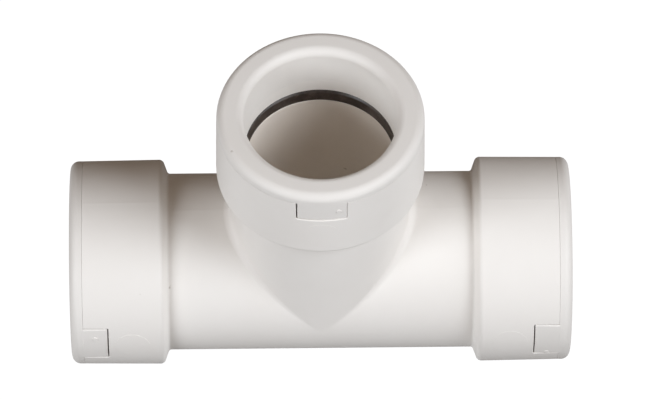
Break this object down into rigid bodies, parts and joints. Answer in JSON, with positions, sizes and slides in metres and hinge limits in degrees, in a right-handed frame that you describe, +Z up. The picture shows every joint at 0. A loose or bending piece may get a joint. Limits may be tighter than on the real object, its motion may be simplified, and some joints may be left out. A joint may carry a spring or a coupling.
{
  "type": "pvc tee fitting",
  "caption": "Equal pipe tee whose push-fit sockets are each sealed by a rubber ring behind a rounded clip-on cap with locating tabs.",
  "frame": {"origin": "crossing of the run's axis and the branch's axis, where the pipes in the run hold the tee", "axes": "+X along the run to the right socket, +Y to the back, +Z up the branch"},
  "size_m": [0.2132, 0.0878, 0.1505],
  "materials": {
    "body_plastic": "white moulded PVC-U, soft gloss",
    "cap_plastic": "white moulded PVC-U, soft gloss",
    "ring_plastic": "white moulded plastic, satin",
    "seal_rubber": "black moulded rubber, satin"
  },
  "bodies": {
    "root": {"tee_body": "body_plastic", "left_cap": "cap_plastic", "right_cap": "cap_plastic", "branch_cap": "cap_plastic", "left_backing_ring": "ring_plastic", "right_backing_ring": "ring_plastic", "branch_backing_ring": "ring_plastic", "left_seal": "seal_rubber", "right_seal": "seal_rubber", "branch_seal": "seal_rubber"}
  },
  "joints": []
}
